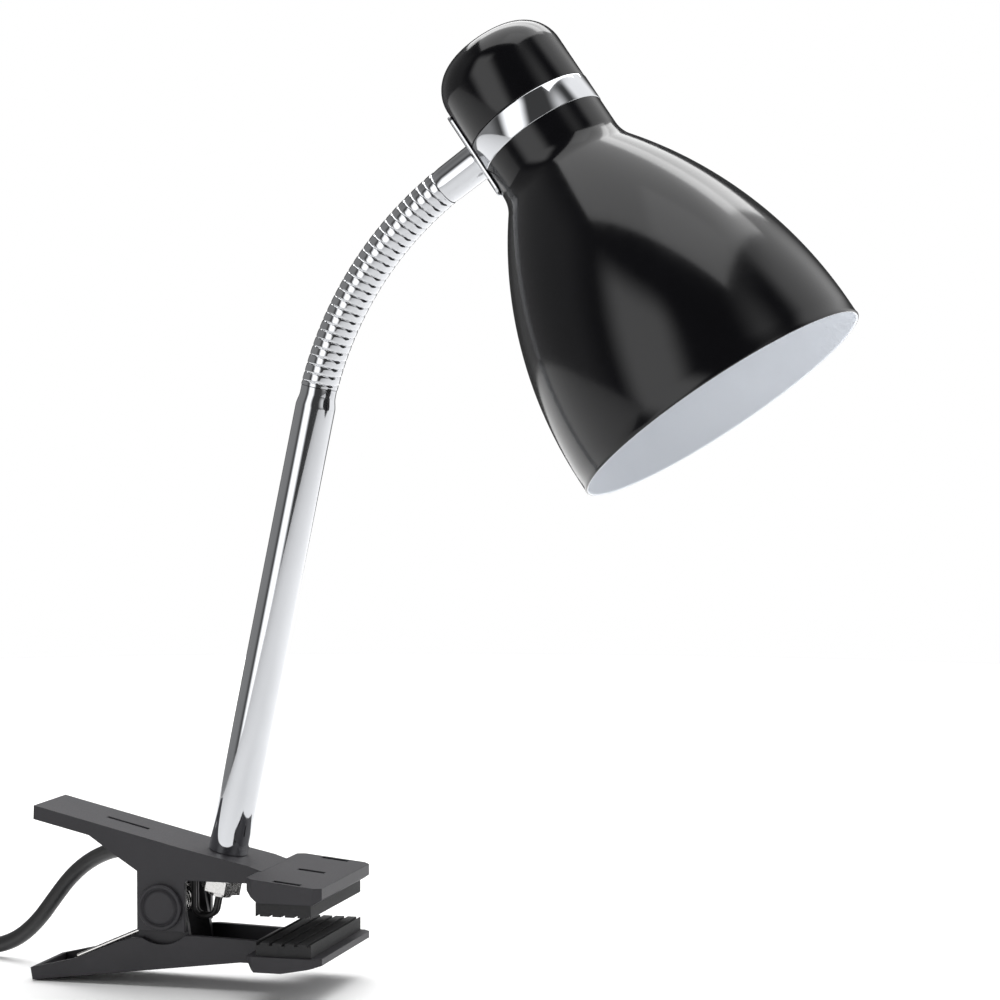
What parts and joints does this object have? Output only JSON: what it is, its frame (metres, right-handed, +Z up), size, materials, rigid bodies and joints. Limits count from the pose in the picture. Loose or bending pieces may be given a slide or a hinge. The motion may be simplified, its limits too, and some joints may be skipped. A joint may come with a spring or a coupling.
{
  "type": "clip-on reading lamp",
  "caption": "Spring-clamp reading lamp with a chrome stem and gooseneck, a bell shade that hides a round bulb, and a mains lead with a rocker switch and plug.",
  "frame": {"origin": "middle of the gap between the two jaw pads, on the lamp's plane of symmetry", "axes": "+X out of the jaws towards the board, +Y across the jaws, +Z up from the lower pad to the upper pad"},
  "size_m": [0.4807, 0.1423, 0.3688],
  "materials": {
    "clamp_plastic": "matte charcoal moulded plastic",
    "pad_rubber": "ribbed black rubber",
    "polished_chrome": "polished chrome plate",
    "plain_steel": "bright drawn steel",
    "shade_paint": "gloss black outside, off-white inside",
    "cap_gloss": "gloss black",
    "holder_black": "black phenolic",
    "ceramic_white": "white steatite",
    "contact_brass": "bright brass",
    "base_aluminium": "bare aluminium",
    "bulb_opal": "opal glass",
    "lead_jacket": "satin black lead sheath",
    "core_insulation": "core insulation",
    "switch_plastic": "satin black plastic"
  },
  "bodies": {
    "clamp": {"upper_arm": "clamp_plastic", "upper_pad": "pad_rubber", "hinge_pin": "plain_steel", "hinge_pin_heads": "clamp_plastic", "torsion_spring": "plain_steel", "stem_tube": "polished_chrome", "stem_bush": "plain_steel", "stem_nipple": "plain_steel", "stem_washer": "plain_steel", "stem_nut": "plain_steel", "stem_cores": "core_insulation", "neck_cores": "core_insulation", "lead_anchor": "plain_steel", "anchor_screws": "plain_steel", "lead_run": "lead_jacket", "lead_link": "lead_jacket", "lead_coil": "lead_jacket", "lead_tail": "lead_jacket", "lead_tie": "switch_plastic", "switch_base": "switch_plastic", "switch_cover": "switch_plastic", "switch_contacts": "contact_brass", "switch_screws": "plain_steel", "plug_body": "switch_plastic", "plug_pins": "contact_brass"},
    "lower_jaw": {"lower_arm": "clamp_plastic", "lower_pad": "pad_rubber"},
    "neck_1": {"neck_segment_1": "polished_chrome"},
    "neck_2": {"neck_segment_2": "polished_chrome"},
    "neck_3": {"neck_segment_3": "polished_chrome"},
    "neck_4": {"neck_segment_4": "polished_chrome"},
    "neck_5": {"neck_segment_5": "polished_chrome"},
    "neck_6": {"neck_segment_6": "polished_chrome"},
    "neck_7": {"neck_segment_7": "polished_chrome"},
    "neck_8": {"neck_segment_8": "polished_chrome"},
    "neck_9": {"neck_segment_9": "polished_chrome"},
    "head": {"neck_collar": "polished_chrome", "saddle_plate": "polished_chrome", "head_nipple": "plain_steel", "head_washer": "plain_steel", "head_nut": "plain_steel", "shade": "shade_paint", "trim_ring": "polished_chrome", "shade_cap": "cap_gloss", "holder_bracket": "plain_steel", "holder_cap": "holder_black", "holder_skirt": "holder_black", "thread_shell": "contact_brass", "contact_block": "ceramic_white", "centre_contact": "contact_brass", "holder_screws": "plain_steel", "core_terminals": "contact_brass", "bulb_base": "base_aluminium", "bulb_glass": "bulb_opal", "head_cores": "core_insulation"},
    "rocker": {"switch_rocker": "switch_plastic"}
  },
  "joints": [
    {"name": "clamp_hinge", "type": "hinge", "parent": "clamp", "child": "lower_jaw", "pos_m": [-0.0547, 0, 0.0038], "axis": [0, 1, 0], "range_deg": [-6, 30], "stiffness_Nm_per_rad": 1.1, "springref_deg": -20.05, "deforming": ["torsion_spring"]},
    {"name": "neck_bend", "type": "hinge", "parent": "clamp", "child": "neck_1", "pos_m": [0.00536, 0, 0.20535], "axis": [0.0921, 0.9956, -0.0193], "range_deg": [-12, 4], "deforming": ["neck_cores"]},
    {"name": "neck_sway", "type": "hinge", "parent": "neck_1", "child": "neck_2", "pos_m": [0.00837, -0.00009, 0.21497], "axis": [0.9259, -0.0928, -0.3662], "range_deg": [-7, 7], "deforming": ["neck_cores"]},
    {"name": "neck_bend_2", "type": "hinge", "parent": "neck_2", "child": "neck_3", "pos_m": [0.01206, -0.00025, 0.22435], "axis": [0.0921, 0.9956, -0.0193], "range_deg": [-12, 4], "deforming": ["neck_cores"]},
    {"name": "neck_sway_2", "type": "hinge", "parent": "neck_3", "child": "neck_4", "pos_m": [0.01642, -0.00048, 0.23343], "axis": [0.8628, -0.0895, -0.4975], "range_deg": [-7, 7], "deforming": ["neck_cores"]},
    {"name": "neck_bend_3", "type": "hinge", "parent": "neck_4", "child": "neck_5", "pos_m": [0.02143, -0.00077, 0.24217], "axis": [0.0921, 0.9956, -0.0193], "range_deg": [-12, 4], "deforming": ["neck_cores"]},
    {"name": "neck_sway_3", "type": "hinge", "parent": "neck_5", "child": "neck_6", "pos_m": [0.02706, -0.00113, 0.25052], "axis": [0.7814, -0.0843, -0.6183], "range_deg": [-7, 7], "deforming": ["neck_cores"]},
    {"name": "neck_bend_4", "type": "hinge", "parent": "neck_6", "child": "neck_7", "pos_m": [0.03328, -0.00155, 0.25844], "axis": [0.0921, 0.9956, -0.0193], "range_deg": [-12, 4], "deforming": ["neck_cores"]},
    {"name": "neck_sway_4", "type": "hinge", "parent": "neck_7", "child": "neck_8", "pos_m": [0.04006, -0.00203, 0.26589], "axis": [0.6834, -0.0773, -0.7259], "range_deg": [-7, 7], "deforming": ["neck_cores"]},
    {"name": "neck_bend_5", "type": "hinge", "parent": "neck_8", "child": "neck_9", "pos_m": [0.04736, -0.00258, 0.27282], "axis": [0.0921, 0.9956, -0.0193], "range_deg": [-12, 4], "deforming": ["neck_cores"]},
    {"name": "neck_sway_5", "type": "hinge", "parent": "neck_9", "child": "head", "pos_m": [0.05514, -0.00317, 0.2792], "axis": [0.5709, -0.0687, -0.8181], "range_deg": [-7, 7], "deforming": ["neck_cores"]},
    {"name": "switch_rocker", "type": "hinge", "parent": "clamp", "child": "rocker", "pos_m": [-0.204, 0.027, -0.0147], "axis": [0, 1, 0], "range_deg": [-8, 8]}
  ]
}
